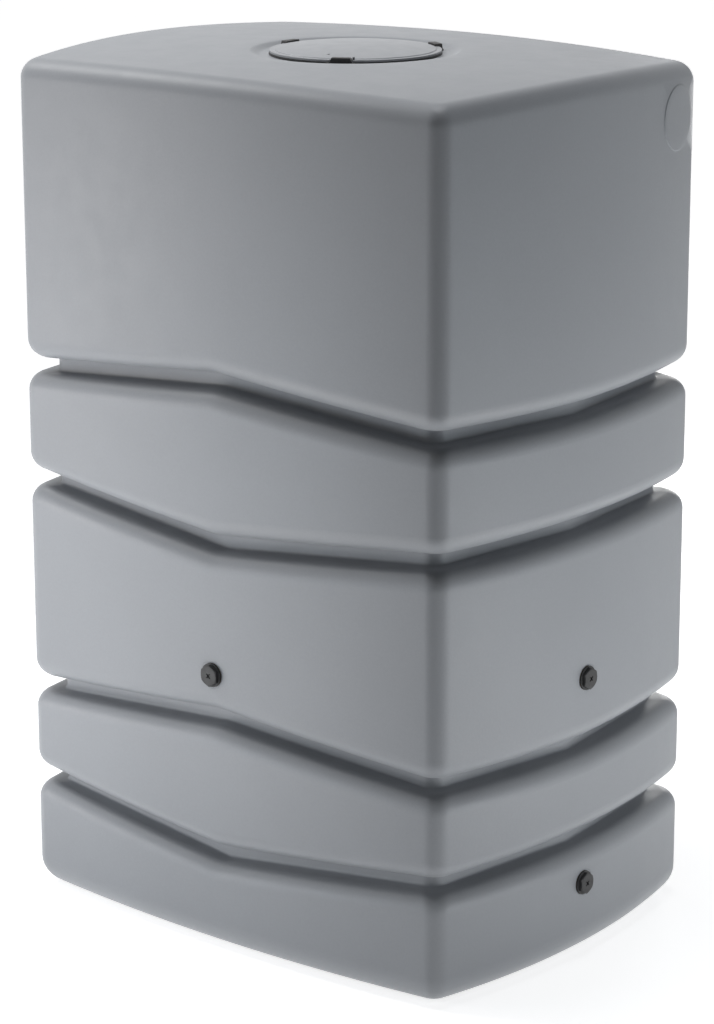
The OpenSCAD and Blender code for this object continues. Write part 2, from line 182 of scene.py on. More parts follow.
def paint(name, finish, **fixed):
    """A material of one Principled shader, whose sockets come from the finish's function."""
    material = bpy.data.materials.new(name)
    material.use_nodes = True
    graph = Graph(material.node_tree)
    shader = graph.node("ShaderNodeBsdfPrincipled", inputs={**finish(graph), **fixed})
    graph.add("ShaderNodeOutputMaterial", inputs={"Surface": shader})
    return material


def grey(value, tint=(1.0, 1.0, 1.0)):
    """An even grey, tinted, as a colour with alpha."""
    return tuple(value * t for t in tint) + (1.0,)


def moulded_plastic(g):
    """Rotationally moulded grey polyethylene: a fine even grain, faint clouds of tone, a soft sheen."""
    tone = g.noise(3.0, 3.0, 0.55) * 0.6 + g.noise(260.0, 3.0, 0.6) * 0.4
    tint = (0.965, 1.0, 1.058)
    normal = g.bump(g.noise(6.0, 1.0, 0.4), 0.05, 0.004)
    normal = g.bump(g.noise(170.0, 3.0, 0.6), 0.25, 0.0007, normal)
    normal = g.bump(g.noise(1400.0, 3.0, 0.6), 0.30, 0.00012, normal)
    return {"Base Color": g.blend(g.smooth(tone, 0.3, 0.7), grey(0.312, tint), grey(0.332, tint)),
            "Roughness": g.smooth(g.noise(24.0, 3.0, 0.6), 0.25, 0.75, 0.40, 0.46),
            "Specular IOR Level": 0.27, "Normal": normal}


def lid_plastic(g):
    """The lid's injection-moulded grey plastic: the tank's colour, a shade lighter and a little smoother."""
    tone = g.noise(14.0, 3.0, 0.55) * 0.7 + g.noise(700.0, 2.0, 0.6) * 0.3
    tint = (0.972, 1.0, 1.050)
    return {"Base Color": g.blend(g.smooth(tone, 0.3, 0.7), grey(0.335, tint), grey(0.355, tint)),
            "Roughness": g.smooth(g.noise(40.0, 3.0, 0.6), 0.25, 0.75, 0.38, 0.46), "Specular IOR Level": 0.3,
            "Normal": g.bump(g.noise(900.0, 3.0, 0.6), 0.2, 0.0001)}


def black_plastic(g):
    """Glass-filled black plastic of the ring and the plugs: a fine sparkle texture, worn a little paler."""
    worn = g.smooth(g.noise(60.0, 4.0, 0.6), 0.35, 0.75)
    return {"Base Color": g.blend(worn, grey(0.018, (1.0, 1.0, 1.04)), grey(0.030, (1.0, 1.0, 1.02))),
            "Roughness": g.smooth(g.noise(90.0, 3.0, 0.6), 0.25, 0.75, 0.42, 0.56), "Specular IOR Level": 0.28,
            "Normal": g.bump(g.noise(1300.0, 3.0, 0.65), 0.35, 0.00012)}


def black_rubber(g):
    """Matt rubber of the seal and washers, with a bloom in patches."""
    bloom = g.smooth(g.noise(45.0, 4.0, 0.65), 0.4, 0.75)
    return {"Base Color": g.blend(bloom, grey(0.016), grey(0.030)),
            "Roughness": g.smooth(bloom, 0.0, 1.0, 0.68, 0.82),
            "Normal": g.bump(g.noise(1500.0, 2.0, 0.6), 0.3, 0.0001)}


def turned_brass(g):
    """Turned brass of the inserts, dulled in patches."""
    dull = g.smooth(g.noise(70.0, 4.0, 0.6), 0.35, 0.7)
    return {"Base Color": g.blend(dull, (0.62, 0.46, 0.22, 1.0), (0.40, 0.28, 0.14, 1.0)),
            "Roughness": g.smooth(dull, 0.0, 1.0, 0.28, 0.44),
            "Normal": g.bump(g.noise(1800.0, 2.0, 0.5), 0.15, 0.00008)}


def screw_steel(g):
    """Bright stainless steel of the ring's screws."""
    marks = g.noise(500.0, 3.0, 0.6)
    return {"Base Color": g.blend(g.smooth(marks, 0.3, 0.7), grey(0.55), grey(0.63, (1.0, 1.0, 1.02))),
            "Roughness": g.smooth(marks, 0.2, 0.8, 0.26, 0.38), "Normal": g.bump(marks, 0.2, 0.00006)}


FINISHES = {
    "tank": paint("moulded_polyethylene", moulded_plastic),
    "lid": paint("lid_plastic", lid_plastic),
    "black": paint("black_plastic", black_plastic),
    "rubber": paint("seal_rubber", black_rubber),
    "brass": paint("turned_brass", turned_brass, Metallic=1.0),
    "steel": paint("screw_steel", screw_steel, Metallic=1.0),
}


# ---- meshes from grids of points --------------------------------------

def cells(index):
    """The four-cornered faces of a grid of point numbers whose rows are rings."""
    after = np.roll(index, -1, axis=1)
    return np.stack([index[:-1], index[1:], after[1:], after[:-1]], axis=-1)


class Shape:
    """Points and faces gathered from several grids into one mesh."""

    def __init__(self):
        self.points, self.faces, self.count = [], [], 0

    def add_points(self, points):
        """Adds points, of any shape of array, and returns their numbers in that shape."""
        points = np.asarray(points, float)
        numbers = self.count + np.arange(points.size // 3).reshape(points.shape[:-1])
        self.points.append(points.reshape(-1, 3))
        self.count += numbers.size
        return numbers

    def quads(self, index):
        """Faces over a grid of point numbers. Rows run outwards and columns clockwise seen from outside."""
        self.faces.extend(cells(index).reshape(-1, 4).tolist())

    def grid(self, points, flip=False):
        """A surface over a rows by columns grid of points whose rows are rings."""
        index = self.add_points(points)
        self.quads(index[:, ::-1] if flip else index)
        return index

    def loop(self, points, flip=False):
        """A surface closed both ways, such as a closed profile carried round."""
        index = self.add_points(points)
        index = np.r_[index, index[:1]]
        self.quads(index[:, ::-1] if flip else index)

    def build(self, name, material, body, slot, *replaced, sharp=35.0):
        """Makes the object, smooth except along edges sharper than that angle."""
        mesh = bpy.data.meshes.new(name)
        mesh.from_pydata((np.concatenate(self.points) * MM).tolist(), [], self.faces)
        close_up(mesh)
        mesh.shade_smooth()
        mesh.set_sharp_from_angle(angle=math.radians(sharp))
        mesh.materials.append(material)
        piece = bpy.data.objects.new(name, mesh)
        bpy.context.scene.collection.objects.link(piece)
        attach(piece, body)
        if replaced:
            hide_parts(*replaced)
        return piece


def close_up(mesh, distance=1e-6):
    """Closes poles and seams by merging points that coincide, and drops points without a face."""
    bm = bmesh.new()
    bm.from_mesh(mesh)
    bmesh.ops.remove_doubles(bm, verts=bm.verts, dist=distance)
    bmesh.ops.delete(bm, geom=[v for v in bm.verts if not v.link_faces], context="VERTS")
    bm.to_mesh(mesh)
    bm.free()


def ease(x):
    """Smooth step: 3x^2 - 2x^3 between 0 and 1."""
    x = np.clip(x, 0.0, 1.0)
    return x * x * (3 - 2 * x)


def turn_angles(steps):
    """A full turn's angles in that many steps."""
    return np.arange(steps) * TAU / steps


def lathe(profile, angles):
    """A profile of (radius, height) turned about Z: x = r cos a, y = r sin a."""
    profile = np.asarray(profile, float)
    r, z = profile[:, :1], profile[:, 1:]
    a = np.asarray(angles)[None, :]
    return np.stack([r * np.cos(a), r * np.sin(a), z + 0 * a], axis=-1)


def square_to_circle(u, v):
    """Pulls a square of cells, to 1 each way, to a circle: (u, v) keeps its direction and goes to max(|u|, |v|).

    The third answer is how far a point is within the circle: 1 - max(|u|, |v|), and 0 outside.
    """
    reach, length = np.maximum(abs(u), abs(v)), np.maximum(np.hypot(u, v), 1e-9)
    inside = reach < 1.01
    pulled = (np.where(inside, x / length * reach, x) for x in (u, v))
    return *pulled, np.where(inside, 1 - reach, 0.0)


def rounded(profile, radii, steps=4, closed=True):
    """A profile with its corners rounded: each becomes the blend (1-t)^2 a + 2t(1-t) b + t^2 c.

    Each corner b is cut back by its radius towards its neighbours, to a and c.
    """
    profile = np.asarray(profile, float)
    radii = np.broadcast_to(np.asarray(radii, float), len(profile))[:, None]
    before, after = np.roll(profile, 1, axis=0) - profile, np.roll(profile, -1, axis=0) - profile
    lb, la = (np.hypot(v[:, 0], v[:, 1])[:, None] + 1e-12 for v in (before, after))
    cut = np.minimum(radii, 0.48 * np.minimum(lb, la))
    start, end = profile + before * cut / lb, profile + after * cut / la
    t = np.linspace(0, 1, steps + 1)[None, :, None]
    corners = (1 - t) ** 2 * start[:, None] + 2 * t * (1 - t) * profile[:, None] + t ** 2 * end[:, None]
    if closed:
        return corners.reshape(-1, 2)
    return np.r_[profile[:1], corners[1:-1].reshape(-1, 2), profile[-1:]]


def placed(points, centre, right, out):
    """Carries points drawn on a flat wall (x along it, y up, z outwards) to an outlet."""
    right, out = np.array(right, float), np.array(out, float)
    up = np.cross(out, right)
    points = np.asarray(points, float)
    return np.array(centre) + points[..., :1] * right + points[..., 1:2] * up + points[..., 2:] * out


# ---- plan of the tank -------------------------------------------------

def arc_radius(chord, bow):
    """Radius of an arc over a chord with that bow: (c^2/4 + s^2) / 2s."""
    return (chord * chord / 4 + bow * bow) / (2 * bow)


FRONT_ARC_R, SIDE_ARC_R = arc_radius(CORNER_W, BOW_FRONT), arc_radius(CORNER_D, BOW_SIDE)
FRONT_ARC_Y = CORNER_D / 2 + BOW_FRONT - FRONT_ARC_R
SIDE_ARC_X = CORNER_W / 2 + BOW_SIDE - SIDE_ARC_R
# shares of the way along each face, with a column close to each end of the rounded corner
FRONT_SHARES = np.r_[np.linspace(0, 1, 28)[:-1], 0.993]
CORNER_SHARES = np.linspace(0, 1, 11)[:-1]
SIDE_SHARES = np.r_[1.0, 0.99, np.linspace(1, 0, 22)[1:]]


def corner_at(inset):
    """Where the two bowed faces meet when both have moved in by inset: two circles' crossing."""
    span = math.hypot(SIDE_ARC_X, FRONT_ARC_Y)
    e = np.array([SIDE_ARC_X, -FRONT_ARC_Y]) / span
    a, b = FRONT_ARC_R - inset, SIDE_ARC_R - inset
    s = (span * span + a * a - b * b) / (2 * span)
    return np.array([0, FRONT_ARC_Y]) + e * s + np.array([e[1], -e[0]]) * math.sqrt(a * a - s * s)


def bowed_quarter(inset, radius):
    """A quarter of the plan, from mid back to mid side: arc, rounded corner, arc."""
    c = corner_at(inset + radius)
    front, side = math.atan2(c[0], c[1] - FRONT_ARC_Y), math.atan2(c[1], c[0] - SIDE_ARC_X)
    a = front * FRONT_SHARES
    face = np.c_[(FRONT_ARC_R - inset) * np.sin(a), FRONT_ARC_Y + (FRONT_ARC_R - inset) * np.cos(a)]
    a = front + (math.pi / 2 - side - front) * CORNER_SHARES
    corner = c + radius * np.c_[np.sin(a), np.cos(a)]
    a = side * SIDE_SHARES
    flank = np.c_[SIDE_ARC_X + (SIDE_ARC_R - inset) * np.cos(a), (SIDE_ARC_R - inset) * np.sin(a)]
    return np.r_[face, corner, flank]


def folded_quarter(inset, radius):
    """A quarter of a groove's inner wall: two straight runs from mid face to the rounded corner."""
    back, side = np.array([0, CORNER_D / 2 + BOW_FRONT - inset]), np.array([CORNER_W / 2 + BOW_SIDE - inset, 0])
    v = corner_at(inset)
    u, w = (v - back) / np.hypot(*(v - back)), (side - v) / np.hypot(*(side - v))
    turn = math.acos(u @ w)
    start, end = v - u * radius * math.tan(turn / 2), v + w * radius * math.tan(turn / 2)
    normal = np.array([-u[1], u[0]])
    a = math.atan2(*normal) + turn * CORNER_SHARES
    corner = start - normal * radius + radius * np.c_[np.sin(a), np.cos(a)]
    # the two straight runs meet in a fold at mid face
    return np.r_[back + (start - back) * FRONT_SHARES[:, None], corner, side + (end - side) * SIDE_SHARES[:, None]]


def all_round(quarter, signs=((1, 1), (1, -1), (-1, -1), (-1, 1))):
    """Mirrors a quarter into a full ring, clockwise seen from above."""
    q = np.asarray(quarter, float)
    a, b, c, d = (np.array(sign) for sign in signs)
    return np.concatenate([q * a, q[-2::-1] * b, q[1:] * c, q[-2:0:-1] * d])


RUN = all_round(np.concatenate([FRONT_SHARES, 1 + 0 * CORNER_SHARES, 2 - SIDE_SHARES]), signs=(1, 1, 1, 1))


def lip_height(lip):
    """Height of a groove's lip round the tank: straight from mid front to corner to mid side."""
    corner, front, side = lip
    return np.where(RUN <= 1, front + (corner - front) * RUN, corner + (side - corner) * (RUN - 1))


def crown_z(xy):
    """Height of the crowned top: H + w(1-X^2) + d(1-Y^2) - f(1-X^2)(1-Y^2)."""
    a, b = 1 - (xy[..., 0] / (CORNER_W / 2)) ** 2, 1 - (xy[..., 1] / (CORNER_D / 2)) ** 2
    return WALL_H + CROWN_W * a + CROWN_D * b - CROWN_FLAT * a * b


def ring(xy, z):
    """A ring of points at a height, or at a height each."""
    return np.c_[xy, np.broadcast_to(z, len(xy))]


def groove_rings(face, inner, lip, t):
    """Rings of one groove, upwards: shoulder arc, floor, fillet, inner wall, fillet, underside, lip arc."""
    depth = np.hypot(*(inner - face).T)[:, None]
    inwards = (inner - face) / depth
    sr, lr, fr = SHOULDER_R - t, LIP_R - t, GROOVE_FILLET + t
    top = lip_height(lip) + t
    floor = lip_height(lip) - GROOVE_H - t
    rings = []
    arc = np.linspace(0, math.pi / 2, 9)
    fillet = np.linspace(0, math.pi / 2, 4)
    for a in arc:
        rings.append(ring(face + inwards * sr * (1 - math.cos(a)), floor - sr * (1 - math.sin(a))))
    for a in fillet:
        rings.append(ring(face + inwards * (depth - fr + fr * math.sin(a)), floor + fr * (1 - math.cos(a))))
    for a in fillet:
        rings.append(ring(face + inwards * (depth - fr + fr * math.cos(a)), top - fr + fr * math.sin(a)))
    for a in arc[::-1]:
        rings.append(ring(face + inwards * lr * (1 - math.cos(a)), top + lr * (1 - math.sin(a))))
    return rings


# shares of the way up a band between two grooves, closer together next to the roundings
BAND_SHARES = np.r_[0, 0.012, np.linspace(0.012, 0.988, 9)[1:-1], 0.988, 1]
BAND_ROWS = len(BAND_SHARES) - 1


def skin(t):
    """Rings of the tank's skin moved in by t, from the base up and in to the mouth, and the bands' first rows."""
    face = all_round(bowed_quarter(t, CORNER_R - t))
    inner = all_round(folded_quarter(GROOVE_DEPTH + t, GROOVE_CORNER_R - t))
    foot = all_round(bowed_quarter(BASE_R, FOOT_CORNER_R))
    rim = all_round(bowed_quarter(TOP_R, RIM_CORNER_R))
    rings = [ring(foot * s, t) for s in (0.0, 0.35, 0.7)]
    arc = np.linspace(0, math.pi / 2, 10)
    for a in arc:
        rings.append(ring(foot + (face - foot) * math.sin(a), t + (BASE_R - t) * (1 - math.cos(a))))
    bands = []

    def band(next_ring):
        """Rows up a band's face to where the next rounding starts, closer together at both ends."""
        bands.append(len(rings) - 1)
        low = rings[-1]
        rings.extend(low + (next_ring - low) * s for s in BAND_SHARES[1:-1])

    for lip in LIPS:
        rows = groove_rings(face, inner, lip, t)
        band(rows[0])
        rings.extend(rows)
    edge = []
    for a in arc:
        xy = face + (rim - face) * (1 - math.cos(a))
        edge.append(np.c_[xy, crown_z(xy) - t - (TOP_R - t) * (1 - math.sin(a))])
    band(edge[0])
    rings.extend(edge)
    unit = rim / np.hypot(*rim.T)[:, None]
    slope_r = RECESS_R + RECESS_SLOPE
    for s in np.r_[0.015, np.linspace(0, 1, 12)[1:]]:
        xy = rim + (unit * slope_r - rim) * s
        rings.append(np.c_[xy, crown_z(xy) - t])
    high = crown_z(unit * slope_r)
    for s in np.linspace(0, 1, 9)[1:]:
        xy = unit * (slope_r - RECESS_SLOPE * s)
        rings.append(np.c_[xy, high + (RECESS_Z - high) * ease(s) - t])
    rings.append(ring(unit * MOUTH_R, RECESS_Z - t))
    return np.array(rings), bands


def loop_round(rows, columns):
    """Rows and columns of the points round a block of the grid, anticlockwise seen from outside."""
    (i0, i1), (j0, j1) = rows, columns
    i = np.r_[i0:i1, np.full(j1 - j0, i1), np.arange(i1, i0, -1), np.full(j1 - j0, i0)]
    j = np.r_[np.full(i1 - i0, j0), j0:j1, np.full(i1 - i0, j1), np.arange(j1, j0, -1)]
    return i, j


def zipped(big, big_angles, small, small_angles):
    """Triangles between two loops round a centre: each edge takes the other loop's point just before its end."""
    n, m = len(big), len(small)
    k, j = np.arange(n), np.arange(m)
    big_next, small_next = np.r_[big_angles[1:], big_angles[0] + TAU], np.r_[small_angles[1:], small_angles[0] + TAU]
    wide_small = np.r_[small_angles - TAU, small_angles, small_angles + TAU]
    wide_big = np.r_[big_angles - TAU, big_angles, big_angles + TAU]
    at_small = (np.searchsorted(wide_small, big_next, "left") - 1) % m
    at_big = (np.searchsorted(wide_big, small_next, "right") - 1) % n
    return np.r_[np.c_[big, big[(k + 1) % n], small[at_small]], np.c_[big[at_big], small[(j + 1) % m], small]].tolist()


def wall_out(right, along):
    """How far out the bowed face is at a place along it: sqrt(R^2 - a^2) + centre."""
    arc_r, centre = (FRONT_ARC_R, FRONT_ARC_Y) if abs(right[0]) > 0.5 else (SIDE_ARC_R, SIDE_ARC_X)
    return np.sqrt(arc_r ** 2 - along ** 2) + centre


SPOKES = turn_angles(64)
# a wall this far out is the one that a feature stands on, and a column this far past its edge is cut with it
NEAR_SIDE, OPENING_MARGIN = 200.0, 15.0
# radius and level of an outlet's rings, the level from the seat: seat, chamfer, pocket for the insert, boss
SEAT_RINGS = [(SEAT_R, 0.0), (SEAT_R - 0.3, 0.0), (INSERT_R + 0.4, 0.0), (INSERT_R + 0.05, -0.3),
              (INSERT_R + 0.05, -BOSS_DEPTH), (BOSS_R - 1, -BOSS_DEPTH), (BOSS_R, 1 - BOSS_DEPTH)]
# radius and rise of a pad's rings, from its foot to its middle
PAD_RINGS = [(PAD_R + 1.0, 0.0), (PAD_R + 0.5, 0.12), (PAD_R + 0.1, 0.75), (PAD_R - 0.4, 1.38)]
PAD_RINGS += [(radius, PAD_RISE) for radius in (PAD_R - 1.0, PAD_R * 0.75, PAD_R * 0.5, PAD_R * 0.25, 0.0)]


class WallFeature:
    """A round thing on a bowed wall: rings of points about its centre, on the wall or on a flat level."""

    def __init__(self, shape, centre, right, out):
        self.shape, self.right, self.out = shape, np.array(right, float), np.array(out, float)
        self.along, self.z = float(np.dot(centre, self.right)), centre[2]
        self.rings = []

    def put(self, radius, depth):
        """Adds a ring of points of that radius, as far out as depth says."""
        a, z = self.along + radius * np.cos(SPOKES), self.z + radius * np.sin(SPOKES)
        outwards = np.broadcast_to(depth, len(a))[:, None] * self.out
        self.rings.append(self.shape.add_points(a[:, None] * self.right + outwards + z[:, None] * [0, 0, 1]))

    def on_wall(self, radius, rise):
        """Adds a ring that follows the bowed wall, raised from it."""
        self.put(radius, wall_out(self.right, self.along + radius * np.cos(SPOKES)) + rise)

    def opening(self, grid, bands, radius, extra=0):
        """Rows and columns of the grid that hold a circle of that radius, and extra rows above the band if need be."""
        along, out, z = grid @ self.right, grid @ self.out, grid[:, :, 2]
        off = np.abs(along[bands[0]] - self.along)
        columns = np.flatnonzero((out[bands[0]] > NEAR_SIDE) & (off < radius + OPENING_MARGIN))
        middle = columns[np.argmin(off[columns])]
        band = max(b for b in bands if z[b, middle] < self.z)
        ladder = np.arange(band, band + BAND_ROWS + 1 + extra)
        near = z[ladder][:, columns]
        below = ladder[(near < self.z - radius).all(axis=1)].max()
        above = ladder[(near > self.z + radius).all(axis=1)].min()
        return (below, above), (columns[0], columns[-1])

    def join(self, index, grid, block, ring, flip):
        """Closes the gap between the block's edge and a ring of the feature."""
        i, j = loop_round(*block)
        points = grid[i, j]
        angles = np.unwrap(np.arctan2(points[:, 2] - self.z, points @ self.right - self.along))
        triangles = zipped(index[i, j], angles, self.rings[ring], SPOKES)
        self.shape.faces.extend([t[::-1] for t in triangles] if flip else triangles)

    def close(self):
        """Faces between the feature's own rings."""
        self.shape.quads(np.array(self.rings)[:, ::-1])


def tank():
    """The tank: outer and inner skin, the mouth, seats and bosses at the outlets, and the two pads."""
    shape = Shape()
    outer, bands = skin(0.0)
    inside, _ = skin(WALL)
    outer_index, inside_index = shape.add_points(outer), shape.add_points(inside)
    keep_outer, keep_inside = np.ones((2, len(outer) - 1, outer.shape[1]), bool)

    def cut(keep, block):
        """Leaves out the cells of a block."""
        (i0, i1), (j0, j1) = block
        keep[i0:i1, j0:j1] = False

    for outlet in OUTLETS.values():
        feature = WallFeature(shape, **outlet)
        seat = float(np.dot(outlet["centre"], outlet["out"]))
        feature.on_wall(SEAT_R + 0.6, 0.0)
        feature.on_wall(SEAT_R + 0.15, -0.06)
        for radius, level in SEAT_RINGS:
            feature.put(radius, seat + level)
        feature.on_wall(BOSS_R, -WALL - 1)
        feature.on_wall(BOSS_R + 0.7, -WALL)
        outer_block = feature.opening(outer, bands, SEAT_R + 1.5)
        inside_block = feature.opening(inside, bands, BOSS_R + 1, extra=3)
        cut(keep_outer, outer_block)
        cut(keep_inside, inside_block)
        feature.join(outer_index, outer, outer_block, 0, flip=False)
        feature.close()
        feature.join(inside_index, inside, inside_block, -1, flip=True)

    for side in (1, -1):
        feature = WallFeature(shape, centre=(0.0, PAD_BACK, PAD_Z), right=(0, side, 0), out=(side, 0, 0))
        for radius, rise in PAD_RINGS:
            feature.on_wall(radius, rise)
        block = feature.opening(outer, bands, PAD_R + 1.2, extra=2)
        cut(keep_outer, block)
        feature.join(outer_index, outer, block, 0, flip=False)
        feature.close()

    shape.faces.extend(cells(outer_index)[keep_outer].tolist())
    shape.faces.extend(cells(inside_index)[keep_inside][:, ::-1].tolist())
    # the mouth's edge joins the two skins
    shape.quads(np.array([outer_index[-1], inside_index[-1]]))
    return shape


# ---- lid, ring and seal -----------------------------------------------

BALL_R = (DOME_R ** 2 + DOME_H ** 2) / (2 * DOME_H)
DOME_TOP = RIM_Z + LID_T + DOME_STEP + DOME_H
FINE = turn_angles(144)


def dome_z(r):
    """Height of the dome at a radius: a shallow ball's cap."""
    return DOME_TOP - BALL_R + np.sqrt(BALL_R ** 2 - np.asarray(r, float) ** 2)


def plate(shape, top, bottom, keep):
    """A plate between two grids over the same plan, with a wall wherever it stops.

    Rows run outwards, columns anticlockwise seen from above, and keep says which cells are there.
    """
    columns = top.shape[1]
    a, b = shape.add_points(top), shape.add_points(bottom)
    a1, b1 = np.roll(a, -1, axis=1), np.roll(b, -1, axis=1)
    outside = np.r_[~keep[1:], np.ones((1, columns), bool)]
    inside = np.r_[np.zeros((1, columns), bool), ~keep[:-1]]
    after, before = ~np.roll(keep, -1, axis=1), ~np.roll(keep, 1, axis=1)
    for corners, where in (
            ((a[:-1], a[1:], a1[1:], a1[:-1]), keep),
            ((b[:-1], b1[:-1], b1[1:], b[1:]), keep),
            ((a[1:], b[1:], b1[1:], a1[1:]), keep & outside),
            ((a[:-1], a1[:-1], b1[:-1], b[:-1]), keep & inside),
            ((a1[1:], b1[1:], b1[:-1], a1[:-1]), keep & after),
            ((a[:-1], b[:-1], b[1:], a[1:]), keep & before)):
        shape.faces.extend(np.stack(corners, axis=-1)[where].tolist())


# half the width of a notch in the lid at its floor, its growth outwards, and the most that it grows to
NOTCH_HALF, NOTCH_SLANT, NOTCH_MOST = 15.3, 0.204, 17.2
NOTCH_FLOOR_R = LUG_IN_R - LUG_GAP
# the catch's slot and the pin hole: angle, and where along the radius and how wide
CATCH_TURN, SLOT_IN_R, SLOT_OUT_R, SLOT_HALF = math.radians(-52), 109.5, 124.5, 1.75
PIN_TURN, PIN_R, PIN_HOLE_R = math.radians(-75), 95.0, 2.2
# radius at which the lid's underside turns from domed to flat
UNDER_R = 115.0


def lid():
    """The domed lid on a polar grid, with three notches, the catch's slot, the pin hole, skirt and rib.

    A column beside a notch leans so that it follows the notch's slanted side: at radius r its angle
    from the notch's middle is asin((w + k(r - r0)) / r).
    """
    shape = Shape()
    flat_r = DOME_R + DOME_STEP
    radii = np.r_[0, 12, 25, 40, 55, 70, 82, 89, PIN_R + PIN_HOLE_R * np.array([-1.6, -1, -0.5, 0, 0.5, 1, 1.6]),
                  103, SLOT_IN_R, UNDER_R, 116, 118.4, DOME_R, flat_r, flat_r + 0.6, SLOT_OUT_R,
                  LID_R - 0.6, LID_R - 0.2, LID_R]
    flat_row = int(np.argmin(abs(radii - flat_r)))
    r = radii[:, None]
    half = np.minimum(NOTCH_HALF + NOTCH_SLANT * (np.maximum(r * 0.992, NOTCH_FLOOR_R) - NOTCH_FLOOR_R), NOTCH_MOST)
    lean = np.arcsin(half / np.maximum(r, NOTCH_FLOOR_R + 1))
    notches = [math.radians((turn + 90) % 360 - 90) for turn in LUG_ANGLES]
    specials = [notch + sign * lean for notch in notches for sign in (-1, 1)]
    # within the last notch's floor its second column is the near side of the catch's slot instead
    beside = np.arcsin(SLOT_HALF / np.maximum(r, 20))
    specials[-1] = np.where(r < NOTCH_FLOOR_R, CATCH_TURN - beside, specials[-1])
    specials.append(CATCH_TURN + beside)
    kinds = ["notch"] * 6 + ["slot"] + ["pin"] * 5
    specials += [PIN_TURN + share * PIN_HOLE_R / PIN_R + 0 * r for share in (-1, -0.5, 0, 0.5, 1)]
    specials = np.concatenate(specials, axis=1)
    plain = np.radians(np.arange(-90, 270, 3.0) + 0.7)
    clear = np.abs(plain[:, None] - specials[flat_row]).min(axis=1) > math.radians(0.9)
    columns = np.concatenate([specials, np.repeat(plain[None, clear], len(radii), axis=0)], axis=1)
    kinds = np.array(kinds + ["plain"] * int(clear.sum()))
    order = np.argsort(columns[flat_row])
    columns, kinds = columns[:, order], kinds[order]
    rim = columns[flat_row]
    after = np.roll(rim, -1)
    after[-1] += TAU
    middle = (rim + after) / 2

    # the notch's floor is straight across: r = floor / cos(angle)
    grid_r = np.repeat(r, len(rim), axis=1)
    in_notch = np.zeros(len(rim), bool)
    for notch in notches:
        near = np.abs(rim - notch) <= math.asin((NOTCH_HALF + 0.2) / NOTCH_FLOOR_R) + 1e-3
        grid_r[flat_row, near] = NOTCH_FLOOR_R / np.cos(rim[near] - notch)
        in_notch |= np.abs(middle - notch) < math.asin(NOTCH_HALF / NOTCH_FLOOR_R)
    keep = np.ones((len(radii) - 1, len(rim)), bool)
    keep[flat_row:, in_notch] = False
    in_slot = (kinds == "notch") & (np.roll(kinds, -1) == "slot")
    slot_rows = (radii[:-1] >= SLOT_IN_R - 0.01) & (radii[1:] <= SLOT_OUT_R + 0.01)
    keep[np.ix_(slot_rows, in_slot)] = False
    pin_rows = np.abs((radii[:-1] + radii[1:]) / 2 - PIN_R) < PIN_HOLE_R
    keep[np.ix_(pin_rows, np.abs(middle - PIN_TURN) < PIN_HOLE_R / PIN_R)] = False
    u, v, _ = square_to_circle((columns - PIN_TURN) * PIN_R / PIN_HOLE_R, (grid_r - PIN_R) / PIN_HOLE_R)
    columns, grid_r = PIN_TURN + u * PIN_HOLE_R / PIN_R, PIN_R + v * PIN_HOLE_R

    top_z = np.where(grid_r <= DOME_R + 0.01, dome_z(np.minimum(grid_r, DOME_R)), RIM_Z + LID_T)
    # the rim's upper edge is rounded off
    top_z[-2] -= 0.15
    top_z[-1] -= 0.6
    bottom_z = np.where(grid_r <= UNDER_R + 0.01, dome_z(np.minimum(grid_r, UNDER_R)) - LID_T, RIM_Z)
    x, y = grid_r * np.cos(columns), grid_r * np.sin(columns)
    plate(shape, np.stack([x, y, top_z], axis=-1), np.stack([x, y, bottom_z], axis=-1), keep)
    for outer_r, wall, low in ((SKIRT_R, SKIRT_T, FLANGE_Z - SKIRT_H), (SEAL_IN_R - LID_GAP, RIB_T, RIM_Z)):
        inner_r = outer_r - wall
        high_out, high_in = (dome_z(radius) - LID_T + 0.3 for radius in (outer_r, inner_r))
        profile = rounded([(inner_r, low), (outer_r, low), (outer_r, high_out), (inner_r, high_in)],
                          [0.5, 0.5, 0.01, 0.01], 3)
        shape.loop(lathe(profile, FINE), flip=True)
    return shape


# the flange shows this far beyond the lid's edge, and comes out to its full width over LUG_EASE beside a lug
FLANGE_SHOWS, LUG_CLEAR, LUG_EASE = 0.5, 2.0, 5.0
# places across a lug, from end to end, and how full its section is at each
LUG_ACROSS = np.array([-1, -0.985, -0.95, -0.6, -0.2, 0.2, 0.6, 0.95, 0.985, 1])
LUG_FULL = np.array([0.85, 0.94, 1, 1, 1, 1, 1, 1, 0.94, 0.85])


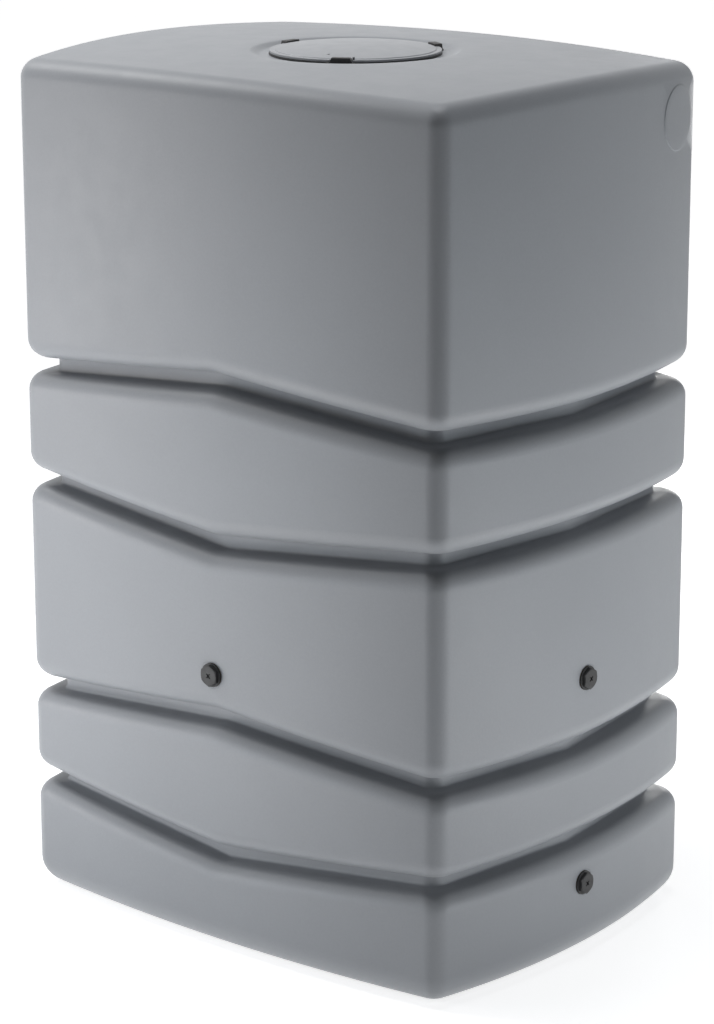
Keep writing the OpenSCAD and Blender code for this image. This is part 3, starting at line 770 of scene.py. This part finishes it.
def neck_ring():
    """The ring that the lid turns in: a lathed collar and spigot, countersunk for the screws, and three lugs."""
    shape = Shape()
    low = RECESS_Z - SPIGOT_H
    # the flange's top is a polar plate with the screws' holes pulled round in it; the rest is one profile
    hole = SCREW_HEAD_R + 0.05
    steps = hole * np.array([-1.5, -1, -0.5, 0, 0.5, 1, 1.5])
    radii = np.r_[NECK_R + 0.5, 103.0, 108.0, SCREW_CIRCLE_R + steps, 126.0, FLANGE_R - 0.5]
    near = (SCREW_ANGLES[:, None] + steps / SCREW_CIRCLE_R).ravel()
    plain = np.radians(np.arange(0, 360, 3.0) + 1.5)
    gap = np.abs((plain[:, None] - SCREW_ANGLES + math.pi) % TAU - math.pi).min(axis=1)
    angles = np.sort(np.r_[near, plain[gap > 1.9 * hole / SCREW_CIRCLE_R]])
    screw = SCREW_ANGLES[np.abs(angles[:, None] - SCREW_ANGLES).argmin(axis=1)]
    u = np.repeat(((angles - screw) * SCREW_CIRCLE_R / hole)[None], len(radii), axis=0)
    v = np.repeat(((radii - SCREW_CIRCLE_R) / hole)[:, None], len(angles), axis=1)
    # inside the hole the plate follows the countersink: depth = (1 - reach) * head radius, to the shank
    u, v, within = square_to_circle(u, v)
    depth = np.minimum(within * hole, hole - SCREW_R)
    turn, r = screw + u * hole / SCREW_CIRCLE_R, SCREW_CIRCLE_R + v * hole
    top = np.stack([r * np.cos(turn), r * np.sin(turn), FLANGE_Z - depth], axis=-1)
    profile = rounded([(FLANGE_R, FLANGE_Z), (FLANGE_R, RECESS_Z), (SPIGOT_R, RECESS_Z), (SPIGOT_R, low),
                       (NECK_R, low), (NECK_R, FLANGE_Z)], [0.5, 0.4, 0.3, 0.8, 0.8, 0.5], 4)[1:-1]
    points = np.concatenate([top, lathe(np.r_[[(FLANGE_R - 0.5, FLANGE_Z)], profile], angles)])
    # the flange stands out under the lugs and keeps within the lid's edge between them
    turn, far_out = np.arctan2(points[..., 1], points[..., 0]), np.hypot(points[..., 0], points[..., 1])
    off = np.abs((turn[..., None] - np.radians(LUG_ANGLES) + math.pi) % TAU - math.pi).min(axis=-1) * LUG_OUT_R
    beside = ease((off - LUG_W / 2 - LUG_CLEAR) / LUG_EASE)
    cut = (FLANGE_R - LID_R - FLANGE_SHOWS) * beside * (far_out > LID_R)
    points[..., :2] *= (1 - cut / far_out)[..., None]
    shape.loop(points)
    foot_z, head_z, top_z = FLANGE_Z - 0.2, RIM_Z + LID_T + LUG_GAP / 2, FLANGE_Z + LUG_H
    section = rounded([(LUG_POST_R, foot_z), (LUG_OUT_R, foot_z), (LUG_OUT_R, top_z), (LUG_IN_R, top_z),
                       (LUG_IN_R, head_z), (LUG_POST_R, head_z)], [0.05, 0.05, 0.8, 0.6, 0.5, 0.5], 3)
    middle_r, middle_z = (LUG_POST_R + LUG_OUT_R) / 2, (head_z + top_z) / 2
    slim = 0.25 * (1 - LUG_FULL[:, None])
    for lug in np.radians(LUG_ANGLES):
        radial, tangent = np.array([math.cos(lug), math.sin(lug), 0]), np.array([-math.sin(lug), math.cos(lug), 0])
        r, z = (np.repeat(values[None], len(LUG_ACROSS), axis=0) for values in section.T)
        width = LUG_W / 2 + (LUG_TOP_W - LUG_W) / 2 * np.clip((z - FLANGE_Z) / LUG_H, 0, 1)
        side = LUG_ACROSS[:, None] * width
        # the outside follows the ring, so it comes in by w^2 / 2R towards the ends
        r = np.where(r > LUG_POST_R + 1, r - side ** 2 / (2 * LUG_OUT_R), r)
        r, z = r + (middle_r - r) * slim, z + (middle_z - z) * slim * (z > FLANGE_Z + 0.5)
        index = shape.grid(r[..., None] * radial + side[..., None] * tangent + z[..., None] * [0, 0, 1], flip=True)
        shape.faces += [index[0, ::-1].tolist(), index[-1].tolist()]
    return shape


HEAD_TURN = turn_angles(64)


def polar_rows(rows, angles):
    """Rows of (radius, height), each one number or one for each angle, as points."""
    return np.array([np.c_[r * np.cos(angles), r * np.sin(angles), z + 0 * angles] for r, z in rows])


def cross_head(length, width, depth, z_top, edge):
    """Rows of a round head's top with a cross cut in it, from its middle outwards.

    The cross is two bars, so its edge at angle a is r(a) = min(l, w / min(|sin a|, |cos a|)).
    """
    short = np.minimum(abs(np.sin(HEAD_TURN)), abs(np.cos(HEAD_TURN)))
    cross = np.minimum(length, width / np.maximum(short, 1e-6))
    rows = [(0.0, z_top - depth), (cross * 0.92, z_top - depth), (cross, z_top), (cross + 0.12, z_top)]
    return rows + [(cross + (edge - cross) * share, z_top) for share in (0.4, 0.8, 1.0)]


def neck_screws():
    """Six countersunk cross-head screws: shank with a rolled thread, cone, and flat head with a cross."""
    shape = Shape()
    pitch, thread_depth = 1.4, 0.45
    top, end = FLANGE_Z - 0.02, FLANGE_Z - SCREW_LEN
    neck_z = top - SCREW_HEAD_R + SCREW_R
    rows = cross_head(2.0, 0.5, 1.0, top, SCREW_HEAD_R - 0.1)
    rows += [(SCREW_HEAD_R - 0.02, top - 0.06), (SCREW_R, neck_z)]
    for z in np.arange(neck_z - 0.6, end + 2.0, -pitch / 4):
        wave = 0.5 + 0.5 * np.cos(TAU * (z / pitch) - HEAD_TURN)
        rows.append((SCREW_R - thread_depth * (1 - wave), z))
    rows += [(1.1, end + 1.5), (0.4, end + 0.3), (0.0, end)]
    one = polar_rows(rows, HEAD_TURN)
    for turn in SCREW_ANGLES:
        shape.grid(one + np.array([SCREW_CIRCLE_R * math.cos(turn), SCREW_CIRCLE_R * math.sin(turn), 0]))
    return shape


def lid_seal():
    """The flat ring seal under the lid, its edges rounded."""
    low, high = FLANGE_Z + SEAL_GAP, dome_z(SEAL_OUT_R) - LID_T - SEAL_GAP
    profile = rounded([(SEAL_IN_R, low), (SEAL_OUT_R, low), (SEAL_OUT_R, high), (SEAL_IN_R, high)], 0.7, 5)
    shape = Shape()
    shape.loop(lathe(profile, FINE), flip=True)
    return shape


# ---- outlets ----------------------------------------------------------

def thread(angles, z, crest, root, sign=1):
    """Radius of a rounded right-hand thread at height z: between root and crest by the wave of z / pitch - turn.

    A sign of -1 gives the bore that it turns in.
    """
    phase = (z[:, None] / PITCH - angles[None, :] / TAU) % 1.0
    wave = np.clip(0.5 + 1.1 * (0.5 - np.abs(2 * phase - 1)) * sign, 0, 1)
    return root + (crest - root) * ease(wave)


THREAD_TURN = turn_angles(48)


def insert_body():
    """A turned insert: collar, stepped barrel and a threaded bore with a chamfered mouth."""
    z = np.arange(-INSERT_LEN + 0.6, -1.3, PITCH / 8)
    bore = thread(THREAD_TURN, z, BORE_R, SHANK_R - THREAD_DEPTH + 0.12, -1)
    mouth_r, step_r = BORE_R + 0.9, INSERT_R - 0.8
    rows = [(mouth_r, 0.0), (BORE_R, -0.95), *zip(bore[::-1], z[::-1])]
    out = rounded([(BORE_R, -INSERT_LEN), (INSERT_COLLAR_R, -INSERT_LEN), (INSERT_COLLAR_R, -BOSS_DEPTH),
                   (INSERT_R, -BOSS_DEPTH), (INSERT_R, -2.6), (step_r, -2.2), (step_r, 0.0), (mouth_r, 0.0)],
                  [0.3, 0.5, 0.4, 0.1, 0.1, 0.1, 0.3, 0.02], 3, closed=False)
    return polar_rows(rows + out[:-1].tolist(), THREAD_TURN)


def washer_body():
    """A flat rubber washer with rounded edges."""
    low_r, high_r = SHANK_R + 0.4, PLUG_FLANGE_R - 0.5
    profile = rounded([(low_r, 0), (high_r, 0), (high_r, WASHER_T), (low_r, WASHER_T)], 0.4, 4)
    return lathe(profile, turn_angles(96))


def plug_body():
    """A screw plug: hexagonal head with turned chamfer and cross recess, flange, and a hollow threaded shank.

    The hexagon's edge is r(a) = s / cos(a'), a' the angle from the nearest flat's middle, its corners rounded
    by r = (r^-n + R^-n)^(-1/n), and the chamfer is the lower of the top and a cone.
    """
    a = turn_angles(192)
    base, flange, top = WASHER_T, WASHER_T + PLUG_FLANGE_T, WASHER_T + PLUG_FLANGE_T + HEX_H
    apothem, corner = HEX_FLATS / 2, HEX_FLATS / 2 / math.cos(math.pi / 6)
    # flats face sideways, and two corners point up and down
    off = (a + math.pi / 6) % (math.pi / 3) - math.pi / 6
    cap = corner - 0.25
    hexagon = ((apothem / np.cos(off)) ** -60.0 + cap ** -60.0) ** (-1 / 60.0)
    # the recess is two bars set across the hexagon, as in cross_head, with square ends
    bar, bar_half, recess = 4.5, 1.0, 3.0
    along, over = abs(np.cos(a - math.pi / 4)), abs(np.sin(a - math.pi / 4))
    cross = np.minimum(bar / np.maximum(along, over), bar_half / np.maximum(np.minimum(along, over), 1e-6))
    rows = [(0.0, top - recess), (cross * 0.5, top - recess), (cross - 0.12, top - recess),
            (cross - 0.05, top - 0.25), (cross + 0.1, top)]
    face, chamfer = apothem - 0.3, 1.8
    rows += [(cross + 0.1 + (face - 0.4 - cross - 0.1) * share, top) for share in (0.2, 0.5, 0.8, 1.0)]
    # the chamfer runs down from the face's edge: z = top - chamfer (r - face) / (corner + 1 - face)
    slope = chamfer / (corner + 1 - face)
    rows.append((face + 0.1, top - 0.12))
    for share in (0.5, 1.0):
        radius = face + (hexagon - 0.15 - face) * share
        rows.append((radius, top - slope * (radius - face) - 0.1))
    rows += [(hexagon, top - slope * (hexagon - face) - 0.35), (hexagon, flange + 2.5), (hexagon, flange + 0.5),
             (hexagon + 0.35, flange + 0.08)]
    out = rounded([(17.3, flange), (PLUG_FLANGE_R, flange), (PLUG_FLANGE_R, base), (SHANK_R + 0.3, base)],
                  [0.02, 0.5, 0.5, 0.02], 4, closed=False)[:-1].tolist()
    out[0][0] = np.maximum(out[0][0], hexagon + 0.4)
    root_r = SHANK_R - THREAD_DEPTH
    z = np.arange(base - 1.0, base - SHANK_LEN + 1.4, -PITCH / 8)
    rows += out + [(root_r, base), *zip(thread(a, z, SHANK_R, root_r), z)]
    end, hollow = base - SHANK_LEN, SHANK_R - 3.5
    rows += [(root_r, end + 0.9), (root_r - 0.5, end), (hollow + 0.3, end), (hollow, end + 0.3),
             (hollow, base - 0.6), (hollow - 0.6, base), (0.0, base)]
    return polar_rows(rows, a)


# ---- the pieces -------------------------------------------------------

def pieces():
    """Builds every piece, each riding on its body in place of its CAD node."""
    for make, name, finish, body, slot, node, sharp in (
            (tank, "tank_body", "tank", "tank", "tank_plastic", "tank_shell", 40),
            (lid, "lid_cover", "lid", "cover", "tank_plastic", "lid", 30),
            (neck_ring, "lid_ring", "black", "tank", "black_plastic", "neck_ring", 40),
            (neck_screws, "ring_screws", "steel", "tank", "steel", "neck_screws", 40),
            (lid_seal, "seal_ring", "rubber", "seal", "rubber", "lid_seal", 50)):
        make().build(name, FINISHES[finish], body, slot, node, sharp=sharp)
    for where, outlet in OUTLETS.items():
        for kind, make, body, finish, slot in (
                ("insert", insert_body, "tank", "brass", "brass"),
                ("washer", washer_body, "washer_" + where, "rubber", "rubber"),
                ("plug", plug_body, "plug_" + where, "black", "black_plastic")):
            shape, points = Shape(), placed(make(), **outlet)
            if kind == "plug":
                shape.grid(points)
            else:
                shape.loop(points, flip=True)
            node = "%s_%s" % (kind, where)
            shape.build(node + "_fine", FINISHES[finish], body, slot, node)


# ---- backdrop, light and camera ---------------------------------------

def area_lamp(name, place, aim, width, height, power, colour):
    """A soft rectangular lamp at a place, turned to its aim, that the camera doesn't see."""
    data = bpy.data.lights.new(name, "AREA")
    data.shape, data.size, data.size_y = "RECTANGLE", width, height
    data.energy, data.color = power, colour
    lamp = bpy.data.objects.new(name, data)
    bpy.context.scene.collection.objects.link(lamp)
    lamp.location = place
    lamp.rotation_euler = (Vector(aim) - Vector(place)).to_track_quat("-Z", "Y").to_euler()
    lamp.visible_camera = False


def surroundings(ambient, floor_grey, floor_glow):
    """Even light from all round with a white backdrop, over a wide pale floor that keeps the object's shadow.

    The backdrop is white, and the floor lifted towards it, only for what the camera, reflections and glass see.
    """
    world = bpy.data.worlds.new("studio")
    bpy.context.scene.world = world
    world.use_nodes = True
    g = Graph(world.node_tree)
    seen = g.seen()
    light = g.node("ShaderNodeBackground", inputs={"Color": grey(1.0), "Strength": seen + (1 - seen) * ambient})
    g.add("ShaderNodeOutputWorld", inputs={"Surface": light})
    # half the floor's width, and where the glow starts and where it's full, in metres from the middle
    reach, glow_start, glow_full = 60.0, 1.6, 4.5
    mesh = bpy.data.meshes.new("floor")
    corners = [(-reach, -reach, 0), (reach, -reach, 0), (reach, reach, 0), (-reach, reach, 0)]
    mesh.from_pydata(corners, [], [(0, 1, 2, 3)])
    floor = bpy.data.objects.new("floor", mesh)
    bpy.context.scene.collection.objects.link(floor)
    material = bpy.data.materials.new("pale_floor")
    material.use_nodes = True
    g = Graph(material.node_tree)
    plain = g.node("ShaderNodeBsdfDiffuse", inputs={"Color": grey(floor_grey)})
    at = g.node("ShaderNodeTexCoord", out="Object")
    away = g.node("ShaderNodeVectorMath", {"operation": "LENGTH"}, {0: at}, out="Value")
    lift = g.smooth(away, glow_start, glow_full, floor_glow, 1.0)
    glow = g.node("ShaderNodeEmission", inputs={"Strength": g.seen() * lift})
    both = g.node("ShaderNodeAddShader", inputs={0: plain, 1: glow})
    g.add("ShaderNodeOutputMaterial", inputs={"Surface": both})
    mesh.materials.append(material)


# the camera's place in metres, its turns, and its lens over a sensor of that height
CAMERA_PLACE = (3.1137, -3.7872, 1.9434)
CAMERA_AZIMUTH, CAMERA_PITCH, CAMERA_ROLL = math.radians(39.41), math.radians(15.21), math.radians(-0.06)
CAMERA_LENS, CAMERA_SENSOR = 116.8, 36.0


def studio_camera():
    """The studio camera, turned so that back = (sin a cos p, -cos a cos p, sin p), then rolled."""
    azimuth, pitch, roll = CAMERA_AZIMUTH, CAMERA_PITCH, CAMERA_ROLL
    back = np.array([math.sin(azimuth) * math.cos(pitch), -math.cos(azimuth) * math.cos(pitch), math.sin(pitch)])
    right = np.array([math.cos(azimuth), math.sin(azimuth), 0.0])
    up = np.cross(back, right)
    right, up = right * math.cos(roll) + up * math.sin(roll), up * math.cos(roll) - right * math.sin(roll)
    data = bpy.data.cameras.new("camera")
    data.sensor_fit, data.sensor_height, data.lens = "VERTICAL", CAMERA_SENSOR, CAMERA_LENS
    data.clip_end = 200.0
    camera = bpy.data.objects.new("camera", data)
    bpy.context.scene.collection.objects.link(camera)
    turn = Matrix(np.column_stack([right, up, back]).tolist())
    camera.matrix_world = Matrix.Translation(CAMERA_PLACE) @ turn.to_4x4()
    bpy.context.scene.camera = camera


pieces()
surroundings(ambient=0.0, floor_grey=0.8, floor_glow=0.75)
WHITE, WARM, COOL = (1.0, 1.0, 1.0), (1.04, 1.0, 0.99), (0.87, 1.0, 1.11)
# name, place and aim in metres, width, height, watts, colour
for lamp in (
        ("overhead", (0.0, 0.0, 4.5), (0.0, 0.0, 1.0), 1.6, 1.6, 56.0, (0.98, 1.0, 1.03)),
        ("left_high", (-1.933, -0.704, 3.051), (0.0, 0.0, 0.6), 1.2, 1.2, 42.0, WHITE),
        ("left_low", (-1.992, -1.671, 0.60), (0.0, 0.0, 0.6), 0.8, 0.8, 16.0, WARM),
        ("front_low", (-0.8, -1.6, 0.40), (0.0, 0.0, 0.5), 0.6, 0.6, 4.6, COOL),
        ("right_low", (3.091, 0.828, 0.40), (0.0, 0.0, 0.5), 1.0, 0.6, 9.5, COOL),
        ("back_low", (-0.9, 2.9, 0.90), (0.0, 0.0, 0.8), 1.0, 1.0, 17.0, WHITE),
        ("right_near", (1.6, 0.3, 0.30), (0.0, 0.0, 0.4), 0.6, 0.6, 2.8, WHITE),
        ("table_under", (0.0, 0.0, 0.003), (0.0, 0.001, 5.0), 2.4, 2.4, 6.2, WHITE),
        ("table_front", (-0.634, -1.359, 0.030), (-0.634, -1.358, 5.0), 1.1, 1.1, 10.5, (1.03, 1.0, 0.98)),
        ("table_right", (1.494, 0.131, 0.030), (1.494, 0.132, 5.0), 1.1, 1.1, 10.0, WHITE)):
    area_lamp(*lamp)
studio_camera()
bpy.context.scene.view_settings.view_transform = "Standard"
